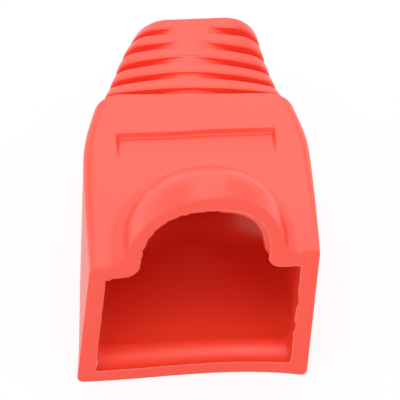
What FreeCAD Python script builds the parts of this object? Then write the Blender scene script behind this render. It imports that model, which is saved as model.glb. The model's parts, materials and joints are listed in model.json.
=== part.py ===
import FreeCAD, Part
import math
import os

from FreeCAD import Vector

# Strain relief boot for an RJ45 plug: one piece, moulded in soft PVC.
# Millimetres. Y runs from the mouth to the tail, Z is up, and X = 0 is the mirror plane.
# Stations along Y are counted from the mouth. The finished boot stands with its flat
# base on Z = 0 and the origin at the middle of its length.

# Pocket for the rear end of the plug
pocket_width = 12.0
pocket_height = 8.0
pocket_depth = 11.0
pocket_corner_radius = 0.3

# Shell around the pocket
side_wall = 1.0
flat_wall = 0.9
side_draft = 0.18           # how far each side has swelled where the shoulder begins
shell_length = 15.6
shoulder_station = 11.4
shoulder_angle = 13.0
shoulder_radius = 10.0
rear_corner_radius = 0.8
base_edge_radius = 0.5
top_edge_radius = 0.4       # up to the shoulder
rear_edge_radius = 0.85     # the same top edge where the shell ends

# Hood over the latch of the plug
latch_room = 4.0            # radius of the arch inside
hood_wall = 0.9
hood_straight = 1.5         # the arch runs straight this far, then closes as a dome
hood_foot_radius = 1.0
hood_overlap = 0.5          # how far the hood reaches down into the shell's top wall
latch_corner_radius = 0.8

# Lip inside the mouth that snaps over the plug
lip_height = 0.3
lead_in_length = 1.2
lip_length = 1.9

# Label recess in the top
recess_width = 9.75
recess_length = 2.4
recess_depth = 0.35
recess_front = 9.5
recess_draft = 0.12         # how much smaller the floor is on each side

# Ribbed tail
groove_count = 5
groove_pitch = 1.81
groove_width = 0.6
tip_band = 1.35
tail_root_half_width = 6.05
tail_tip_half_width = 4.2
tail_root_radius = 0.7
tail_tip_radius = 2.7
tail_radius_curve = 1.5     # power law of that radius
tail_drop = 1.0             # how far top and bottom close in at the tip
tail_drop_curve = 1.2       # power law of that drop
tail_crown = 1.0            # how far the tail's top and bottom bow, about halfway along
tail_crown_curve = 0.8      # how early along the tail the bow is fullest
least_crown = 0.02          # bow left at either end
tail_overlap = 0.6          # how far the tail reaches into the shell

# Core left between the grooves, an oval that meets the top and bottom as a spine
core_root_half_width = 4.7
core_tip_half_width = 3.7
spine_sink = 0.45           # spine below the rib tops at the first groove
spine_rise = 0.27           # and above them at the tip, where the groove dies out

# Cable way
cable_bore = 6.0
funnel_length = 3.6
funnel_margin = 0.1         # between the funnel's mouth and the pocket's floor and ceiling

# Worked out from the sizes above
mouth_width = pocket_width + 2 * side_wall
shell_height = pocket_height + 2 * flat_wall
axis_height = shell_height / 2
shoulder_start = shoulder_station - shoulder_radius * math.tan(math.radians(shoulder_angle) / 2)
hood_radius = latch_room + hood_wall
tail_length = (groove_count - 1) * groove_pitch + groove_width + tip_band
boot_length = shell_length + tail_length
run_out = 1.0               # cutters reach this far past the faces they cut
touch = 0.01                # edges nearer than this to a plane lie in it


def rounded_outline(corners):
    """A closed wire through (point, radius) corners, each one rounded by its radius."""
    tangents = []
    count = len(corners)
    for index, (corner, radius) in enumerate(corners):
        to_last = (corners[index - 1][0] - corner).normalize()
        to_next = (corners[(index + 1) % count][0] - corner).normalize()
        half_angle = to_last.getAngle(to_next) / 2
        middle = (to_last + to_next).normalize()
        start = corner + to_last * (radius / math.tan(half_angle))
        end = corner + to_next * (radius / math.tan(half_angle))
        crown = corner + middle * (radius / math.sin(half_angle) - radius)
        tangents.append((start, crown, end))
    edges = []
    for index, (start, crown, end) in enumerate(tangents):
        if start.distanceToPoint(end) > Part.Precision.confusion():
            edges.append(Part.Arc(start, crown, end).toShape())
        next_start = tangents[(index + 1) % count][0]
        if end.distanceToPoint(next_start) > Part.Precision.confusion():
            edges.append(Part.LineSegment(end, next_start).toShape())
    return Part.Wire(edges)


def tail_outline(station, half_width, half_height, crown, radius):
    """Across the tail: upright sides, top and bottom bowed by crown, corners rounded."""
    bow = (half_width ** 2 + crown ** 2) / (2 * crown)
    corner_x = half_width - radius
    rise = math.sqrt((bow - radius) ** 2 - corner_x ** 2)
    corner_z = half_height - bow + rise
    lean = math.atan2(rise, corner_x)

    def corner(side, end, angle):
        x = side * (corner_x + radius * math.cos(angle))
        z = end * (corner_z + radius * math.sin(angle))
        return Vector(x, station, axis_height + z)

    edges = []
    for side in (1, -1):
        upper = [corner(side, side, share * lean) for share in (1, 0.5, 0)]
        lower = [corner(side, -side, share * lean) for share in (0, 0.5, 1)]
        across = Vector(0, station, axis_height - side * half_height)
        edges += [
            Part.Arc(*upper).toShape(),
            Part.LineSegment(upper[-1], lower[0]).toShape(),
            Part.Arc(*lower).toShape(),
            Part.Arc(lower[-1], across, corner(-side, -side, lean)).toShape(),
        ]
    return Part.Wire(edges)


def blend(start, end, share):
    return start + (end - start) * share


def evolving_fillets(solid, edges, radius_at):
    """Round edges with a radius that grows along Y; each edge is taken with its own ends."""
    document = FreeCAD.newDocument("fillets")
    blank = document.addObject("Part::Feature", "blank")
    blank.Shape = solid
    rounded = document.addObject("Part::Fillet", "rounded")
    rounded.Base = blank
    rows = []
    for number, edge in enumerate(solid.Edges, start=1):
        if any(edge.isSame(wanted) for wanted in edges):
            first = edge.valueAt(edge.FirstParameter).y
            last = edge.valueAt(edge.LastParameter).y
            rows.append((number, radius_at(first), radius_at(last)))
    rounded.Edges = rows
    document.recompute()
    result = rounded.Shape.Solids[0].copy()
    FreeCAD.closeDocument(document.Name)
    return result


def shell_prism(rear_radius):
    """The shell seen from above, pulled up to its height."""
    mouth = mouth_width / 2
    hip = mouth + side_draft
    slope = math.tan(math.radians(shoulder_angle))
    rear = hip - (shell_length - shoulder_station) * slope
    outline = rounded_outline([
        (Vector(-mouth, 0, 0), 0.0),
        (Vector(mouth, 0, 0), 0.0),
        (Vector(hip, shoulder_station, 0), shoulder_radius),
        (Vector(rear, shell_length, 0), rear_radius),
        (Vector(-rear, shell_length, 0), rear_radius),
        (Vector(-hip, shoulder_station, 0), shoulder_radius),
    ])
    return Part.Face(outline).extrude(Vector(0, 0, shell_height))


def make_shell():
    """The socket's outside: straight sides, shoulders drawn in, flat top and base."""
    solid = shell_prism(0.0)

    def radius_at(station):
        share = max(station - shoulder_start, 0) / (shell_length - shoulder_start)
        return blend(top_edge_radius, rear_edge_radius, share)

    top_edges = [edge for edge in solid.Edges
                 if edge.BoundBox.ZMin > axis_height and edge.BoundBox.YLength > touch]
    solid = evolving_fillets(solid, top_edges, radius_at)
    base_edges = [edge for edge in solid.Edges
                  if edge.BoundBox.ZMax < touch and edge.BoundBox.YLength > touch]
    solid = solid.makeFillet(base_edge_radius, base_edges)
    return solid.common(shell_prism(rear_corner_radius))


def make_hood():
    """The bubble over the plug's latch: a straight arch closed by a dome, with a rounded foot."""
    foot_reach = math.sqrt((hood_radius + hood_foot_radius) ** 2 - hood_foot_radius ** 2)
    lean = math.asin(hood_foot_radius / (hood_radius + hood_foot_radius))

    def at(x, z):
        return Vector(x, 0, shell_height + z)

    def on_arch(angle):
        return at(hood_radius * math.cos(angle), hood_radius * math.sin(angle))

    half_turn = (lean + math.pi / 2) / 2
    foot_middle = at(
        foot_reach - hood_foot_radius * math.sin(half_turn),
        hood_foot_radius - hood_foot_radius * math.cos(half_turn),
    )
    half = Part.Face(Part.Wire([
        Part.Arc(on_arch(math.pi / 2), on_arch(half_turn), on_arch(lean)).toShape(),
        Part.Arc(on_arch(lean), foot_middle, at(foot_reach, 0)).toShape(),
        Part.LineSegment(at(foot_reach, 0), at(foot_reach, -hood_overlap)).toShape(),
        Part.LineSegment(at(foot_reach, -hood_overlap), at(0, -hood_overlap)).toShape(),
        Part.LineSegment(at(0, -hood_overlap), on_arch(math.pi / 2)).toShape(),
    ]))
    arch = half.extrude(Vector(0, hood_straight, 0))
    arch = arch.fuse(arch.mirror(Vector(0, 0, 0), Vector(1, 0, 0)))
    half.translate(Vector(0, hood_straight, 0))
    dome = half.revolve(Vector(0, hood_straight, 0), Vector(0, 0, 1), 180)
    return arch.fuse(dome).removeSplitter()


def make_tail():
    """Tapering, softly rounded tail before the grooves are cut.

    It is ruled from groove to groove, so its creases fall where the grooves are cut.
    """
    root = shell_length - tail_overlap
    stations = [root]
    for number in range(1, groove_count):
        stations.append(shell_length + number * groove_pitch + groove_width / 2)
    stations.append(boot_length)
    wires = []
    for station in stations:
        share = (station - root) / (boot_length - root)
        crown = tail_crown * math.sin(math.pi * share ** tail_crown_curve)
        wires.append(tail_outline(
            station,
            blend(tail_root_half_width, tail_tip_half_width, share),
            axis_height - tail_drop * share ** tail_drop_curve,
            max(crown, least_crown),
            blend(tail_root_radius, tail_tip_radius, share ** tail_radius_curve),
        ))
    return Part.makeLoft(wires, True, True)


def oval(station, half_width, half_height):
    centre = Vector(0, station, axis_height)
    side = Vector(half_width, station, axis_height)
    crown = Vector(0, station, axis_height + half_height)
    longer, shorter = (crown, side) if half_height > half_width else (side, crown)
    return Part.Wire([Part.Ellipse(longer, shorter, centre).toShape()])


def make_core():
    """The oval core that the grooves leave, joining the ribs by a spine above and below."""
    root = oval(shell_length - tail_overlap, core_root_half_width, axis_height - spine_sink)
    tip_height = axis_height - tail_drop + spine_rise
    tip = oval(boot_length + run_out, core_tip_half_width, tip_height)
    return Part.makeLoft([root, tip], True, True)


def cut_grooves(solid):
    core = make_core()
    span = mouth_width
    for number in range(groove_count):
        station = shell_length + number * groove_pitch
        corner = Vector(-span / 2, station, -run_out)
        slab = Part.makeBox(span, groove_width, shell_height + 2 * run_out, corner)
        solid = solid.cut(slab.cut(core))
    return solid


def pocket_outline(station, inset):
    """Opening for the plug with the latch arch above it, drawn in by inset all round."""
    half = pocket_width / 2 - inset
    floor = flat_wall + inset
    ceiling = shell_height - flat_wall - inset
    arch = latch_room - inset
    crown = shell_height + arch
    return rounded_outline([
        (Vector(-half, station, floor), pocket_corner_radius),
        (Vector(half, station, floor), pocket_corner_radius),
        (Vector(half, station, ceiling), pocket_corner_radius),
        (Vector(arch, station, ceiling), latch_corner_radius),
        (Vector(arch, station, crown), arch),
        (Vector(-arch, station, crown), arch),
        (Vector(-arch, station, ceiling), latch_corner_radius),
        (Vector(-half, station, ceiling), pocket_corner_radius),
    ])


def make_cavity():
    """Everything hollow: lead-in, lip, pocket, latch dome, funnel and cable bore."""
    forward = Vector(0, 1, 0)
    mouth = Part.makeLoft([pocket_outline(0, 0), pocket_outline(lead_in_length, lip_height)], True, True)
    entry = Part.Face(pocket_outline(0, 0)).extrude(-forward * run_out)
    land = Part.Face(pocket_outline(lead_in_length, lip_height)).extrude(
        forward * (lip_length - lead_in_length))
    floor_corner = Vector(-pocket_width / 2, lip_length, flat_wall)
    pocket = Part.makeBox(pocket_width, pocket_depth - lip_length, pocket_height, floor_corner)
    long_edges = [edge for edge in pocket.Edges if edge.BoundBox.YLength > pocket_depth / 2]
    pocket = pocket.makeFillet(pocket_corner_radius, long_edges)
    dome = Part.makeSphere(latch_room, Vector(0, hood_straight, shell_height))
    behind_lip = Part.makeBox(4 * latch_room, 2 * latch_room, 4 * latch_room,
                              Vector(-2 * latch_room, lip_length, axis_height))
    dome = dome.common(behind_lip)
    axis = Vector(0, pocket_depth, axis_height)
    bore_radius = cable_bore / 2
    funnel = Part.makeCone(pocket_height / 2 - funnel_margin, bore_radius, funnel_length, axis, forward)
    bore = Part.makeCylinder(bore_radius, boot_length - pocket_depth + run_out, axis, forward)
    return entry.multiFuse([mouth, land, pocket, dome, funnel, bore])


def make_recess():
    """Shallow label field with drafted sides."""
    def field(height, inset):
        half = recess_width / 2 - inset
        front = recess_front + inset
        back = recess_front + recess_length - inset
        return Part.makePolygon([
            Vector(-half, front, height),
            Vector(half, front, height),
            Vector(half, back, height),
            Vector(-half, back, height),
            Vector(-half, front, height),
        ])
    outset = recess_draft * run_out / recess_depth
    return Part.makeLoft([
        field(shell_height - recess_depth, recess_draft),
        field(shell_height + run_out, -outset),
    ], True, True)


def make_boot():
    outside = make_shell().fuse(make_hood()).removeSplitter()
    outside = outside.fuse(make_tail())
    outside = cut_grooves(outside)
    solid = outside.cut(make_recess()).cut(make_cavity())
    solid = solid.removeSplitter()
    solid.translate(Vector(0, -boot_length / 2, 0))
    return solid.Solids[0]


boot = make_boot()
os.makedirs("parts", exist_ok=True)
boot.exportStep("parts/boot.step")
print("solids", len(boot.Solids), "valid", boot.isValid(), "volume", round(boot.Volume, 1))
print("box", boot.BoundBox)
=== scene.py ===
import math

import bpy
import json
import numpy as np
from mathutils import Matrix, Vector


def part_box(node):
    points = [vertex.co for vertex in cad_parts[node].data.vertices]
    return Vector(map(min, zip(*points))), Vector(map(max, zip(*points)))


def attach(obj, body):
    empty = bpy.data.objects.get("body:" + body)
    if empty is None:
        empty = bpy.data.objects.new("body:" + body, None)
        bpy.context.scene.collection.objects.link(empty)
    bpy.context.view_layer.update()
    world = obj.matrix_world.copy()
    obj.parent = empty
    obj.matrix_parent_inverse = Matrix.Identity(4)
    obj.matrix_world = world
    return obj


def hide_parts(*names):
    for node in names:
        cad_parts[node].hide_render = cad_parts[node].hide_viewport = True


# A strain relief boot for a modular plug, moulded in one piece of soft PVC.
# Sizes are millimetres counted from the mouth: y runs into the boot, z up from its base.
# The scene itself is in metres, and MM turns one into the other.

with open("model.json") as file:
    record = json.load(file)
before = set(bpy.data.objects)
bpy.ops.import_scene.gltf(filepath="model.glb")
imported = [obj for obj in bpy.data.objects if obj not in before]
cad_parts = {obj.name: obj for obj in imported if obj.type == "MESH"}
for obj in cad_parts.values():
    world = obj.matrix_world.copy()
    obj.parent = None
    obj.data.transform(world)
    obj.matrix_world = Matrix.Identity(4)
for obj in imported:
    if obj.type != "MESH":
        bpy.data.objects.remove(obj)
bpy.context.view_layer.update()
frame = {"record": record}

MM = 0.001
cad_low, cad_high = (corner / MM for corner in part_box("boot"))
bore_mount = next(m for m in frame["record"]["mounts"] if m["name"] == "cable_bore")

# ---- the moulding ----------------------------------------------------------------------

# Shell
length = cad_high.y - cad_low.y
mouth_half_width = 7.0
hip_half_width = 7.18
shell_height = 9.8
shell_length = 15.6
axis_height = shell_height / 2
shoulder_station = 11.4
shoulder_slope = math.tan(math.radians(13))
shoulder_softness = 0.35    # how gently the flare turns into the shoulder
hip_fullness = 0.2          # the hip stands out by this share of that softness
hip_reach = 2.2
rear_corner_radius = 0.8
rear_corner_depth = 0.9     # this share of a full quarter circle
base_edge_radius = 0.42
top_edge_at_mouth = 0.3
top_edge_at_rear = 0.85
rear_gather = 0.2           # the top's columns of points draw together towards the tail
edge = 0.1                  # how far every outer edge is broken by the mould

# Hood over the plug's latch
hood_radius = cad_high.z - shell_height
hood_straight = 1.5
hood_foot = 1.0
hood_foot_behind = 2.8      # the foot is broader where the hood runs out on the top
hood_flat = 0.08            # and the dome's back flatter than round, by this share
hood_reach = 7.2            # how far from the hood's axis the top sheet is drawn into it
latch_radius = 4.0
latch_squareness = 2.44     # 2 would be a half circle
latch_corner = 0.8
latch_corner_deep = 1.8
latch_corner_grows = (1.0, 4.0)
latch_reach = 5.7

# Pocket, with the lip and ledge that hold the plug
pocket_half_width = 6.0
pocket_floor = 0.9
pocket_ceiling = 8.9
pocket_depth = 11.0
pocket_corner = 0.3
pocket_corner_deep = 1.15
pocket_corner_grows = (0.5, 4.5)
lip_height = 0.3
lip_on_walls = 0.33         # the lip is this share as high up the walls
lip_fades = (1.4, 0.2)      # counted up from the pocket's floor
lip_valley = -0.5           # it starts below the pocket's floor, by this share
lip_front = 0.09            # where it begins, counted from the mouth
lip_slope = (0.3, 1.8)
lip_back = 2.04             # where it ends; its back is steep
lip_back_depth = 0.16
lip_back_round = 0.02
ledge_height = 0.8          # at the right of the latch arch
ledge_front = (0.2, 0.62)
ledge_at_foot = 0.35        # share of that height at the arch's foot
ledge_turn = 0.25           # share of the arch's height over which it begins
ledge_side = (-0.6, 1.0)    # and how it begins at the arch's crown, across the boot

# Label recess
recess_half_width = 5.02
recess_front = 8.7
recess_back = 11.9
recess_depth = 0.34
recess_draft = 0.2
recess_end_draft = 0.2
recess_back_step = 0.16     # how much further back it runs on the right
recess_step_run = (-2.4, 2.0)

# Ribbed tail
groove_count = 5
groove_pitch = 1.81
groove_width = 0.78
rib_rear_edge = 0.12        # each rib's edge towards the tail is sharp
rib_front_edge = 0.2        # and the one towards the mouth is soft
rib_front_fall = 0.16
tail_root = 15.0
tail_half_widths = (6.05, 4.2)
tail_corner_radii = (0.7, 2.35)
tail_corner_power = 1.5     # each power bends a change along the tail towards one end
tail_drop = 1.0
tail_drop_power = 1.2
tail_crown = 1.0
tail_crown_power = 0.8
least_crown = 0.02
core_half_widths = (4.9, 3.75)
core_squareness = 2.0
core_shift = -0.2
spine_sink = 0.36
spine_rise = 0.247
tip_edge = 2 * edge

# Cable way
bore_radius = bore_mount["dims"]["r_mm"]
funnel_length = 3.6
throat_start = 10.4         # where the pocket begins to close in on the cable
throat_run = 2.6            # and how far it takes to become round
throat_radius = 3.9         # of the cable way where the pocket ends

# Flash left where the mouth was trimmed, its reach counted in beads. Each kind has its
# mean, how far it strays, a seed, and how many waves it makes round the mouth.
bead_height = 0.07
bead_foot = 0.02
bead_rows = ((0.07, 0.25), (0.01, 0.8), (-0.03, 1.0), (-0.025, 0.7))   # depth, share of reach
even_flash = (0.9, 0.35, 3, (9, 17, 31))
ragged_flash = (1.2, 1.0, 5, (67, 89, 113))
wavy_flash = (0.9, 1.0, 8, (11, 17, 29))
# the painted highlight on the flash's crest: its waves round the mouth, and its specks at the arch's
# left
flash_highlight = (0.75, 0.35, 4, (15, 29, 47))
highlight_specks = (-0.9, 2.0, 11, (41, 67, 101))
# where it was torn and not cut: bearing and breadth in degrees, height in beads
torn_bits = ((145.5, 0.8, 2.4), (-14.0, 2.5, 2.0), (-152.0, 2.0, 1.6), (-8.0, 2.5, -1.6))
# where each kind begins and is full: across the boot, and upwards
arch_left_across, arch_left_above = (0.6, -0.6), (0.3, 1.1)      # above the pocket's ceiling
side_right_across, side_right_above = (5.0, 5.6), (1.5, 2.5)
highlight_left_across, highlight_left_above = (0.5, -1.0), (1.6, 2.6)
highlight_beside_crest = 0.5     # the rows beside the flash's crest take this share of its painted highlight
rim_margins = (0.14, 0.08)  # rows of the rim's face beside the pocket

# The set that this one has taken, largest at the mouth or at the tail's tip
mouth_reach = 5.0           # how quickly the mouth's own set dies out along the boot
rack_reach = 14.0           # and the racking of the whole shell
rack = 0.37                 # the top stands this far to the right of the middle
splay = 0.13                # top corners in and bottom corners out
mouth_shift = -0.21
tail_lean = -0.59           # first to one side
tail_sweep = 0.87           # then further to the other
shoulder_lift = 0.75        # right shoulder up, left shoulder down
tail_twist = 0.73
tip_start = 0.84            # share of the length
tip_return = 1.15           # the tip itself has come back past level
mouth_dip = 0.08            # the top's front edge: lower in the middle
mouth_tilt = 0.805
mouth_cup = 0.32
mouth_curl = 0.55
front_skew = 0.53           # the mouth's front face: left side forward
front_bow = 0.41            # both sides forward of the middle
front_curl = 0.41

# How closely the points stand, in rows along the boot and in columns round it
hood_row_gap = 0.2
crease_gap = 0.03
pocket_row_gap = 0.25
crease_margins = (0.16, 0.12)
groove_floor_inset = 0.06
groove_wall_shares = (0.35, 0.7, 0.92)
groove_wall_lean = 0.01
rim_edge_turns = (0.35, 0.8, 1.25)      # radians round the rim's outer edge


def mix(start, end, share):
    return start + (end - start) * share


def smooth(value):
    value = np.clip(value, 0.0, 1.0)
    return value * value * (3.0 - 2.0 * value)


def ramp(value, start, end):
    """0 before start, 1 past end, and smooth between; end may be the smaller."""
    return smooth((value - start) / (end - start))


def rings_between(start, end, count):
    return [mix(start, end, step / (count + 1)) for step in range(1, count + 1)]


# ---- the section of the shell, column by column ----------------------------------------

TOP_FIXED = np.concatenate([
    np.linspace(0.0, recess_half_width - recess_draft - crease_margins[0], 43),
    np.linspace(recess_half_width - recess_draft - crease_gap, recess_half_width + crease_gap, 7),
    [recess_half_width + crease_margins[1]],
])
FLEX = np.linspace(0.0, 1.0, 8)[1:-1]
CORNER = np.linspace(0.0, math.pi / 2, 7)
SIDE = np.linspace(0.0, 1.0, 26)[1:-1]
BASE = np.linspace(0.0, 1.0, 22)[:-1]
TOP_COLUMNS = len(FLEX) + len(TOP_FIXED)


def half_section(half_width, low, high, low_radius, high_radius, gather=1.0):
    """From the middle of the base round the right side to the middle of the top. The top's
    columns keep their places from row to row, drawn together by gather."""
    edge_x = half_width - high_radius
    top = TOP_FIXED[::-1] * gather
    x = np.concatenate([
        BASE * (half_width - low_radius),
        half_width - low_radius + low_radius * np.sin(CORNER),
        np.full(len(SIDE), half_width),
        edge_x + high_radius * np.cos(CORNER),
        edge_x + (top[0] - edge_x) * FLEX,
        top,
    ])
    z = np.concatenate([
        np.full(len(BASE), low),
        low + low_radius - low_radius * np.cos(CORNER),
        low + low_radius + (high - high_radius - low - low_radius) * SIDE,
        high - high_radius + high_radius * np.sin(CORNER),
        np.full(TOP_COLUMNS, high),
    ])
    return x, z


def whole_loop(x, z, y):
    """Mirror a half section and close it into a ring of points."""
    right = np.stack([x, np.full_like(x, y), z], axis=1)
    left = right[1:-1][::-1] * np.array([-1.0, 1.0, 1.0])
    return np.concatenate([right, left])


def top_mask(count):
    """The columns that lie on the flat top, in a whole ring."""
    half = count // 2
    mask = np.zeros(count, bool)
    mask[half - TOP_COLUMNS + 1:half + TOP_COLUMNS] = True
    return mask


def offset(ring, inset):
    """Move a ring inwards in its own plane by inset."""
    run = np.roll(ring, -1, axis=0) - np.roll(ring, 1, axis=0)
    size = np.maximum(np.hypot(run[:, 0], run[:, 2]), 1e-9)
    moved = ring.copy()
    moved[:, 0] -= inset * run[:, 2] / size
    moved[:, 2] += inset * run[:, 0] / size
    return moved


def blister(ring, mask, radius, centre_lift, feet, reach, top, squareness=2.0, flat=0.0):
    """Draw the masked points up into an arch that ends in a dome, with a filleted foot.
    feet holds the fillet's radius beside the arch and behind the dome."""
    x = ring[mask, 0]
    y = ring[mask, 1]
    back = np.maximum(y - hood_straight, 0.0)
    away = np.maximum(np.hypot(x, back), 1e-9)
    behind = (back / away) ** 2
    foot = mix(*feet, behind)
    centre_drop = foot - centre_lift
    rolled = centre_drop > 0.0
    foot_axis = np.where(rolled, np.sqrt((radius + foot) ** 2 - centre_drop ** 2), radius + foot)
    turn = np.where(rolled, np.arctan2(foot_axis, centre_drop), math.pi / 2)
    # the sheet's path outwards: arch, upright, fillet, and the flat that is left
    upright = np.maximum(-centre_drop, 0.0)
    arc = radius * turn
    fillet = foot * turn
    run = arc + upright + fillet + reach - foot_axis
    along = away / reach * run
    angle = np.clip(along / radius, 0.0, turn)
    full = (np.sin(angle) ** squareness + np.abs(np.cos(angle)) ** squareness) ** (-1 / squareness)
    full *= 1.0 - flat * behind * np.sin(math.pi * angle / turn) ** 2
    r = radius * np.sin(angle) * full
    h = centre_lift + radius * np.cos(angle) * full
    h = h - np.clip(along - arc, 0.0, upright)
    swing = np.clip((along - arc - upright) / foot, 0.0, turn)
    on_fillet = along > arc + upright
    r = np.where(on_fillet, foot_axis - foot * np.sin(turn - swing), r)
    h = np.where(on_fillet, foot - foot * np.cos(turn - swing), h)
    past = along > arc + upright + fillet
    r = np.where(past, foot_axis + along - arc - upright - fillet, r)
    scale = np.where(away < reach, r / away, 1.0)
    ring[mask, 0] = x * scale
    ring[mask, 1] = np.where(y > hood_straight, hood_straight + back * scale, y)
    ring[mask, 2] = top + np.where(away < reach, h, 0.0)
    return ring


def shell_half_width(y):
    flare = mix(mouth_half_width, hip_half_width, y / shoulder_station)
    bent = hip_half_width - (y - shoulder_station) * shoulder_slope
    soft = shoulder_softness
    width = -soft * math.log(math.exp(-flare / soft) + math.exp(-bent / soft))
    width += hip_fullness * soft * math.exp(-((y - shoulder_station) / hip_reach) ** 2)
    past = min(max(y - (shell_length - rear_corner_radius), 0.0), rear_corner_radius)
    fall = rear_corner_radius - math.sqrt(rear_corner_radius ** 2 - past ** 2)
    return width - fall * rear_corner_depth


def shell_ring(y, inset=0.0):
    high_radius = mix(top_edge_at_mouth, top_edge_at_rear, y / shell_length)
    gather = 1.0 - rear_gather * ramp(y, recess_back + 0.2, shell_length)
    x, z = half_section(shell_half_width(y), 0.0, shell_height, base_edge_radius, high_radius, gather)
    ring = whole_loop(x, z, y)
    mask = top_mask(len(ring))
    feet = (hood_foot, hood_foot_behind)
    ring = blister(ring, mask, hood_radius, 0.0, feet, hood_reach, shell_height, flat=hood_flat)
    back = recess_back + recess_back_step * ramp(ring[:, 0], *recess_step_run)
    sides = np.clip((recess_half_width - np.abs(ring[:, 0])) / recess_draft, 0.0, 1.0)
    ends = np.clip((back - y) / recess_end_draft, 0.0, 1.0)
    fall = recess_depth * ramp(y, recess_front, recess_back)
    ring[:, 2] -= np.where(mask, sides * ends * fall, 0.0)
    return offset(ring, inset)


def pocket_ring(y, inset=0.0, lip=0.0, ledge=0.0):
    """The pocket's section, drawn in by inset, by the lip, and by its ledge at the arch's right."""
    low_corner = mix(pocket_corner, pocket_corner_deep, ramp(y, *pocket_corner_grows))
    x, z = half_section(pocket_half_width, pocket_floor, pocket_ceiling, low_corner, pocket_corner)
    ring = whole_loop(x, z, y)
    mask = top_mask(len(ring))
    lift = shell_height - pocket_ceiling
    corner = mix(latch_corner, latch_corner_deep, ramp(y, *latch_corner_grows))
    feet = (corner, corner)
    ring = blister(ring, mask, latch_radius, lift, feet, latch_reach, pocket_ceiling, latch_squareness)
    up_the_arch = np.clip((ring[:, 2] - pocket_ceiling) / (latch_radius + lift), 0.0, 1.0)
    arch_right = smooth(up_the_arch / ledge_turn) * ramp(ring[:, 0], *ledge_side)
    floor = ramp(ring[:, 2] - pocket_floor, *lip_fades)
    lip_here = lip * lip_height * mix(lip_on_walls, 1.0, floor)
    ledge_here = ledge * ledge_height * mix(ledge_at_foot, 1.0, up_the_arch)
    return offset(ring, inset + mix(lip_here, ledge_here, arch_right))


def lip_share(y):
    """How much of the lip's height stands at y: a valley by the mouth, then up to a steep back."""
    slope = mix(lip_valley, 1.0, ramp(y, *lip_slope))
    steep_back = ramp(y, lip_back - lip_back_round, lip_back - lip_back_depth)
    return slope * ramp(y, lip_front, lip_slope[0]) * steep_back


def ledge_share(y):
    return ramp(y, *ledge_front) * ramp(y, lip_back, lip_back - lip_back_depth)


# ---- the tail and the cable way, as distances from the axis ------------------------------

def bearings(ring):
    return np.arctan2(ring[:, 2] - axis_height, ring[:, 0])


def polar_ring(bearing, reach, y):
    return np.stack([
        reach * np.cos(bearing),
        np.full_like(bearing, y),
        axis_height + reach * np.sin(bearing),
    ], axis=1)


def round_ring(bearing, radius, y):
    return polar_ring(bearing, np.full_like(bearing, radius), y)


def crowned_box_reach(bearing, half_width, half_height, crown, radius):
    """Upright sides, top and bottom bowed by crown, corners rounded."""
    cos, sin = np.abs(np.cos(bearing)), np.abs(np.sin(bearing))
    bow = (half_width ** 2 + crown ** 2) / (2 * crown)
    bow_centre = half_height - bow
    corner_x = half_width - radius
    rise = math.sqrt((bow - radius) ** 2 - corner_x ** 2)
    corner_z = bow_centre + rise
    lean = math.atan2(rise, corner_x)
    to_side = half_width / np.maximum(cos, 1e-9)
    to_top = bow_centre * sin + np.sqrt((bow_centre * sin) ** 2 - bow_centre ** 2 + bow ** 2)
    across = corner_x * cos + corner_z * sin
    inside = across ** 2 - corner_x ** 2 - corner_z ** 2 + radius ** 2
    to_corner = across + np.sqrt(np.maximum(inside, 0.0))
    shoulder_x = corner_x + radius * math.cos(lean)
    reach = np.where(to_side * sin <= corner_z, to_side, to_corner)
    return np.where(to_top * cos <= shoulder_x, to_top, reach)


def oval_reach(bearing, half_width, half_height, squareness):
    across = np.abs(np.cos(bearing) / half_width) ** squareness
    upward = np.abs(np.sin(bearing) / half_height) ** squareness
    return (across + upward) ** (-1 / squareness)


def tail_reach(bearing, y):
    share = (y - tail_root) / (length - tail_root)
    return crowned_box_reach(
        bearing,
        mix(*tail_half_widths, share),
        axis_height - tail_drop * share ** tail_drop_power,
        max(tail_crown * math.sin(math.pi * share ** tail_crown_power), least_crown),
        mix(*tail_corner_radii, share ** tail_corner_power),
    )


def core_reach(bearing, y):
    share = (y - tail_root) / (length - tail_root)
    half_height = mix(axis_height - spine_sink, axis_height - tail_drop + spine_rise, share)
    reach = oval_reach(bearing, mix(*core_half_widths, share), half_height, core_squareness)
    return reach + core_shift * np.cos(bearing)


def tail_rings(bearing):
    """Ribs and grooves, each rib edge rounded, down to the oval core. Where a groove is
    shallower than the rounding, the rounding gives way smoothly."""
    rings = []

    def add(y, sink, share=0.0):
        outer = tail_reach(bearing, y)
        depth = np.maximum(outer - core_reach(bearing, y), 0.0)
        shallow = depth * np.tanh(sink / np.maximum(depth, 0.001))
        rings.append(polar_ring(bearing, outer - mix(shallow, depth, share), y))

    turns = np.linspace(0.0, math.pi / 2, 6)
    rib_front = shell_length
    for number in range(groove_count):
        start = shell_length + number * groove_pitch
        end = start + groove_width
        if number:
            for y in np.linspace(rib_front, start - rib_rear_edge, 4)[1:-1]:
                add(y, 0.0)
            for turn in turns:
                y = start - rib_rear_edge * (1 - math.sin(turn))
                add(y, rib_rear_edge * (1 - math.cos(turn)))
            for share in groove_wall_shares:
                add(start + groove_wall_lean * share, rib_rear_edge, share)
        for y in (start + groove_floor_inset, start + groove_width / 2, end - groove_floor_inset):
            add(y, rib_front_fall, 1.0)
        for share in groove_wall_shares[::-1]:
            add(end - groove_wall_lean * share, rib_front_fall, share)
        for turn in turns[::-1]:
            add(end + rib_front_edge * (1 - math.sin(turn)), rib_front_fall * (1 - math.cos(turn)))
        rib_front = end + rib_front_edge
    for y in np.linspace(rib_front, length - tip_edge, 5)[1:]:
        add(y, 0.0)
    for turn in np.linspace(0.0, math.pi / 2, 5)[1:]:
        y = length - tip_edge * (1 - math.sin(turn))
        rings.append(polar_ring(bearing, tail_reach(bearing, y) - tip_edge * (1 - math.cos(turn)), y))
    return rings


# ---- flash round the mouth ---------------------------------------------------------------

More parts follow.
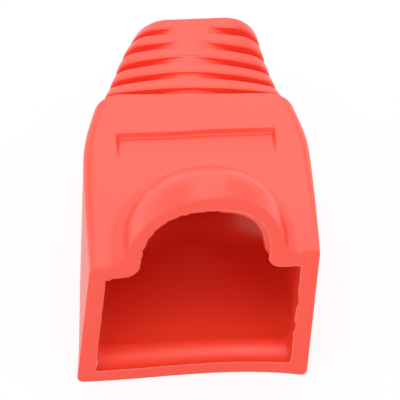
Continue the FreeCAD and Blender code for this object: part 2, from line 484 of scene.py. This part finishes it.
def ripple(angle, seed, waves):
    """A repeatable uneven line round a ring, between about -1 and 1."""
    rng = np.random.default_rng(seed)
    total = np.zeros_like(angle)
    for wave in waves:
        total += np.sin(angle * wave + rng.uniform(0.0, 6.28)) * rng.uniform(0.5, 1.0)
    return total / len(waves) * 1.4


def uneven(angle, mean, stray, seed, waves):
    return mean + stray * ripple(angle, seed, waves)


def flash(ring):
    """How far the flash stands in from the edge: scalloped by the knife at the arch's left."""
    angle = bearings(ring)
    arch_left = ramp(ring[:, 0], *arch_left_across)
    arch_left *= ramp(ring[:, 2] - pocket_ceiling, *arch_left_above)
    side_right = ramp(ring[:, 0], *side_right_across) * ramp(ring[:, 2], *side_right_above)
    cut = mix(uneven(angle, *even_flash), uneven(angle, *ragged_flash), arch_left)
    reach = mix(cut, uneven(angle, *wavy_flash), side_right)
    for bearing, breadth, height in torn_bits:
        reach += height * np.exp(-((np.degrees(angle) - bearing) / breadth) ** 2)
    return reach


def edge_highlight_share(ring):
    """How much painted highlight the flash's crest takes, a pale colour standing for the highlight on
    the trimmed edge and light through the thin flash: least at the left, in specks on the arch.
    """
    angle = bearings(ring)
    left = ramp(ring[:, 0], *highlight_left_across) * ramp(ring[:, 2], *highlight_left_above)
    specks = np.maximum(uneven(angle, *highlight_specks), 0.0)
    return np.clip(mix(uneven(angle, *flash_highlight), specks, left), 0.0, 1.0)


# ---- the whole skin, one closed chain of rings ---------------------------------------------

def shell_stations():
    """Rows from the mouth to the shell's rear corner, close together at the recess's end."""
    last_back = recess_back + recess_back_step
    rows = np.concatenate([
        np.arange(2 * edge, recess_front - 0.1, hood_row_gap),
        np.linspace(recess_front, recess_back - recess_end_draft - 0.15, 12),
        np.arange(recess_back - recess_end_draft - crease_gap, last_back + 0.05, crease_gap),
        np.linspace(last_back + 0.3, shell_length - rear_corner_radius, 10),
        shell_length - rear_corner_radius * (1.0 - np.sin(np.linspace(0.1, 1.25, 6))),
    ])
    return rows[rows < shell_length - edge]


def lip_stations():
    """Close together where the lip turns sharply, from its back out to the mouth."""
    return np.concatenate([
        np.linspace(lip_back, 1.8, 8), np.arange(1.7, 0.62, -0.12), np.arange(0.6, 0.08, -0.06),
    ])


def outside_rings():
    """From the middle of the rim's face over its edge, and along the shell to the tail."""
    outer_edge = shell_ring(0.0, edge)
    rings = rings_between(pocket_ring(0.0, -rim_margins[0]), outer_edge, 3) + [outer_edge]
    for turn in rim_edge_turns:
        ring = shell_ring(0.0, edge * (1 - math.sin(turn)))
        ring[:, 1] += edge * (1 - math.cos(turn))
        rings.append(ring)
    rings += [shell_ring(y) for y in shell_stations()]
    for turn in (0.0, 0.5, 1.0):
        rings.append(shell_ring(shell_length - edge * (1 - math.sin(turn)), edge * (1 - math.cos(turn))))
    rear = shell_ring(shell_length, edge)
    bearing = bearings(rear)
    core = polar_ring(bearing, core_reach(bearing, shell_length), shell_length)
    rings += [rear] + rings_between(rear, core, 4) + [core]
    return rings + tail_rings(bearing), bearing


def cable_way_rings(tip, bearing):
    """The tail's end face, the bore, and the throat that opens into the pocket."""
    bore_end = round_ring(bearing, bore_radius + edge, length)
    rings = rings_between(tip, bore_end, 3) + [bore_end]
    pocket_bearing = bearings(pocket_ring(pocket_depth))
    swing = (pocket_bearing - bearing + math.pi) % (2 * math.pi) - math.pi
    funnel_end = pocket_depth + funnel_length
    for y in np.linspace(length - edge, funnel_end, 22):
        rings.append(round_ring(bearing + swing * ramp(y, length, funnel_end), bore_radius, y))
    for y in np.linspace(funnel_end, throat_start, 30)[1:]:
        radius = mix(throat_radius, bore_radius, ramp(y, throat_start, funnel_end))
        way = round_ring(pocket_bearing, radius, y)
        rings.append(mix(pocket_ring(y), way, ramp(y, throat_start, throat_start + throat_run)))
    return rings


def skin_rings():
    """All rings in order, the number of the one on the flash's crest, and the painted highlight along
    it.
    """
    rings, bearing = outside_rings()
    rings += cable_way_rings(rings[-1], bearing)
    walls = np.arange(throat_start - pocket_row_gap, lip_back + 0.1, -pocket_row_gap)
    rings += [pocket_ring(y) for y in walls]
    rings += [pocket_ring(y, 0.0, lip_share(y), ledge_share(y)) for y in lip_stations()]
    crest = len(rings) + 2
    for y, share in bead_rows:
        ring = pocket_ring(y)
        rings.append(offset(ring, bead_height * flash(ring) * share))
    rim_edge = pocket_ring(0.0)
    rings.append(offset(rim_edge, -bead_foot))
    rings += [pocket_ring(0.0, -margin) for margin in rim_margins[::-1]]
    return rings, crest, edge_highlight_share(rim_edge)


def soften(points):
    """The set the soft moulding has taken. The mouth is racked, the tail twists away, and the
    base stays flat on the table."""
    x, y, z = points.T
    across = x / mouth_half_width
    upward = z / axis_height - 1
    near = np.exp(-y / mouth_reach)
    far = np.exp(-y / rack_reach)
    along = y / length
    dx = rack * upward * far + (mouth_shift - splay * across * upward) * near
    dx += tail_lean * along + tail_sweep * along ** 3
    turned = tail_twist * along ** 2 * (1 - tip_return * ramp(along, tip_start, 1.0))
    rise = (shoulder_lift * far - turned) * across
    rise += (mouth_cup * across ** 2 + mouth_curl * across ** 3) * near
    rise -= (mouth_dip + mouth_tilt * across) * near
    dy = (front_skew * across - front_bow * across ** 2 - front_curl * across ** 3) * near
    return points + np.stack([dx, dy, rise * z / shell_height], axis=1)


def build_boot():
    rings, crest, highlight_at_crest = skin_rings()
    count, columns = len(rings), len(rings[0])
    points = soften(np.concatenate(rings)) - np.array([0.0, length / 2, 0.0])
    row = np.arange(count)[:, None]
    column = np.arange(columns)[None, :]
    next_row = (row + 1) % count
    next_column = (column + 1) % columns
    faces = np.stack([
        row * columns + column,
        next_row * columns + column,
        next_row * columns + next_column,
        row * columns + next_column,
    ], axis=2).reshape(-1, 4)
    mesh = bpy.data.meshes.new("boot_skin")
    mesh.from_pydata((points * MM).tolist(), [], faces.tolist())
    mesh.validate()
    mesh.shade_smooth()
    # painted highlight: a pale share on the flash's crest and the rows beside it, kept as a point
    # attribute
    highlight = np.zeros((count, columns), np.float32)
    highlight[crest] = highlight_at_crest
    highlight[[crest - 1, crest + 1]] = highlight_beside_crest * highlight[crest]
    mesh.attributes.new("thin_edge", "FLOAT", "POINT").data.foreach_set("value", highlight.ravel())
    piece = bpy.data.objects.new("boot_skin", mesh)
    bpy.context.scene.collection.objects.link(piece)
    return piece


# ---- finish --------------------------------------------------------------------------------

def linear(code):
    """An sRGB hex colour as linear red, green, blue, alpha."""
    parts = [int(code[i:i + 2], 16) / 255 for i in (1, 3, 5)]
    return [p / 12.92 if p <= 0.04045 else ((p + 0.055) / 1.055) ** 2.4 for p in parts] + [1.0]


def add_node(tree, kind, settings=None, links=None):
    """Add a node, set its properties and inputs, and link its inputs. An input goes by its
    name, or by its number where several share a name."""
    node = tree.nodes.new(kind)
    for name, value in (settings or {}).items():
        if isinstance(name, int) or name in node.inputs:
            node.inputs[name].default_value = value
        else:
            setattr(node, name, value)
    for name, source in (links or {}).items():
        tree.links.new(source, node.inputs[name])
    return node


def start_nodes(holder):
    holder.use_nodes = True
    holder.node_tree.nodes.clear()
    return holder.node_tree


# Soft PVC, coloured all through and moulded in a spark-eroded mould. It gives the eye a warm,
# slightly waxy red that light sinks into at thin places, under a soft sheen without sharp
# reflections. The flash's crest is painted pale: a painted highlight on the trimmed edge and painted
# light shining through the thin flash.
pvc_colour = "#F84830"
highlight_colour = "#FF8A74"
pvc_ior = 1.53
pvc_gloss_level = 0.62
pvc_roughness = (0.30, 0.40)
pvc_depth = 0.8 * MM        # how far red light travels under the surface
pvc_depth_shares = (1.0, 0.25, 0.15)
pvc_depth_weight = 0.2
grain_width = 0.35 * MM     # spark-eroded pits are about 0.05 mm: drawn coarser, so that they show
grain_height = 0.04 * MM
grain_strength = 0.12
flow_width = 4.0 * MM       # slow waves where the soft wall has sunk as it cooled
flow_height = 0.2 * MM
flow_strength = 0.25


def soft_pvc():
    material = bpy.data.materials.new("moulded soft PVC")
    tree = start_nodes(material)
    place = add_node(tree, "ShaderNodeTexCoord").outputs["Object"]
    # painted highlight: the flash's crest is mixed towards a pale colour by this attribute
    highlight = add_node(tree, "ShaderNodeAttribute", {"attribute_name": "thin_edge"})
    colour = add_node(tree, "ShaderNodeMixRGB", {
        "Color1": linear(pvc_colour), "Color2": linear(highlight_colour),
    }, {"Fac": highlight.outputs["Fac"]})
    grain = add_node(tree, "ShaderNodeTexNoise", {
        "Scale": 1 / grain_width, "Detail": 3.0,
    }, {"Vector": place})
    waves = add_node(tree, "ShaderNodeTexNoise", {
        "Scale": 1 / flow_width, "Detail": 1.0,
    }, {"Vector": place})
    sheen = add_node(tree, "ShaderNodeMapRange", {
        "To Min": pvc_roughness[0], "To Max": pvc_roughness[1],
    }, {"Value": grain.outputs["Fac"]})
    flow = add_node(tree, "ShaderNodeBump", {
        "Strength": flow_strength, "Distance": flow_height,
    }, {"Height": waves.outputs["Fac"]})
    skin = add_node(tree, "ShaderNodeBump", {
        "Strength": grain_strength, "Distance": grain_height,
    }, {"Height": grain.outputs["Fac"], "Normal": flow.outputs["Normal"]})
    shader = add_node(tree, "ShaderNodeBsdfPrincipled", {
        "IOR": pvc_ior,
        "Specular IOR Level": pvc_gloss_level,
        "Subsurface Weight": pvc_depth_weight,
        "Subsurface Radius": pvc_depth_shares,
        "Subsurface Scale": pvc_depth,
    }, {
        "Base Color": colour.outputs["Color"],
        "Roughness": sheen.outputs["Result"],
        "Normal": skin.outputs["Normal"],
    })
    add_node(tree, "ShaderNodeOutputMaterial", links={"Surface": shader.outputs["BSDF"]})
    return material


def seen_directly(tree, share):
    """Share for rays from the eye or off gloss or through glass, and 0 for the light itself."""
    path = add_node(tree, "ShaderNodeLightPath")
    eye_or_gloss = add_node(tree, "ShaderNodeMath", {"operation": "MAXIMUM"}, {
        0: path.outputs["Is Camera Ray"], 1: path.outputs["Is Glossy Ray"],
    })
    any_of = add_node(tree, "ShaderNodeMath", {"operation": "MAXIMUM"}, {
        0: eye_or_gloss.outputs[0], 1: path.outputs["Is Transmission Ray"],
    })
    part = add_node(tree, "ShaderNodeMath", {"operation": "MULTIPLY", 1: share}, {0: any_of.outputs[0]})
    return part.outputs[0]


# Matt card, which reads as plain white to the eye and still takes the boot's shadow.
card_colour = "#F7F7F7"
card_glow = 0.85            # share of plain white in what the eye sees


def white_card():
    material = bpy.data.materials.new("matt white card")
    tree = start_nodes(material)
    card = add_node(tree, "ShaderNodeBsdfDiffuse", {"Color": linear(card_colour)})
    glow = add_node(tree, "ShaderNodeEmission", {"Color": linear("#FFFFFF"), "Strength": 1.0})
    blend = add_node(tree, "ShaderNodeMixShader", links={
        0: seen_directly(tree, card_glow), 1: card.outputs[0], 2: glow.outputs[0],
    })
    add_node(tree, "ShaderNodeOutputMaterial", links={"Surface": blend.outputs[0]})
    return material


# ---- stage, light and camera -----------------------------------------------------------------

floor_half_size = 0.6
studio_level = 0.76         # light from all round; the eye sees plain white there
softbox_size = 0.20
softboxes = (               # place in metres, and watts
    ("key softbox", (0.0, -0.12, 0.28), 0.33),
    ("back softbox", (0.0, 0.22, 0.22), 0.10),
    ("side fill", (-0.28, -0.05, 0.10), 0.05),
)
softbox_aim = Vector((0, 0, 0.005))
view_azimuth = math.radians(-2.01)
view_elevation = math.radians(41.702)
view_roll = math.radians(0.471)
view_distance = 0.170
view_aim = Vector((0.0, -2.395, 5.0)) * MM
view_lens = 240.5
view_shift = (0.0081, 0.0184)


def build_stage():
    mesh = bpy.data.meshes.new("floor")
    half = floor_half_size
    mesh.from_pydata([(-half, -half, 0), (half, -half, 0), (half, half, 0), (-half, half, 0)],
                     [], [(0, 1, 2, 3)])
    floor = bpy.data.objects.new("floor", mesh)
    mesh.materials.append(white_card())
    bpy.context.scene.collection.objects.link(floor)
    world = bpy.data.worlds.new("studio")
    tree = start_nodes(world)
    level = add_node(tree, "ShaderNodeMath", {"operation": "MAXIMUM", 1: studio_level}, {
        0: seen_directly(tree, 1.0),
    })
    sky = add_node(tree, "ShaderNodeBackground", {"Color": linear("#FFFFFF")},
                   {"Strength": level.outputs[0]})
    add_node(tree, "ShaderNodeOutputWorld", links={"Surface": sky.outputs[0]})
    bpy.context.scene.world = world


def hang_softbox(name, place, power):
    light = bpy.data.lights.new(name, "AREA")
    light.shape = "DISK"
    light.size = softbox_size
    light.energy = power
    lamp = bpy.data.objects.new(name, light)
    lamp.location = place
    lamp.rotation_euler = (softbox_aim - lamp.location).to_track_quat("-Z", "Y").to_euler()
    bpy.context.scene.collection.objects.link(lamp)


def build_camera():
    back = Vector((math.sin(view_azimuth) * math.cos(view_elevation),
                   -math.cos(view_azimuth) * math.cos(view_elevation),
                   math.sin(view_elevation)))
    level = (-back).cross(Vector((0, 0, 1))).normalized()
    upright = level.cross(-back)
    right = math.cos(view_roll) * level + math.sin(view_roll) * upright
    up = math.cos(view_roll) * upright - math.sin(view_roll) * level
    camera = bpy.data.cameras.new("camera")
    camera.sensor_width = 36
    camera.lens = view_lens
    camera.shift_x, camera.shift_y = view_shift
    camera.clip_start = 0.01
    holder = bpy.data.objects.new("camera", camera)
    stand = Matrix.Translation(view_aim + back * view_distance)
    holder.matrix_world = stand @ Matrix((right, up, back)).transposed().to_4x4()
    bpy.context.scene.collection.objects.link(holder)
    bpy.context.scene.camera = holder


bpy.context.scene.view_settings.view_transform = "Standard"
boot = build_boot()
boot.data.materials.append(soft_pvc())
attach(boot, "root")
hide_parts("boot")
build_stage()
for softbox in softboxes:
    hang_softbox(*softbox)
build_camera()
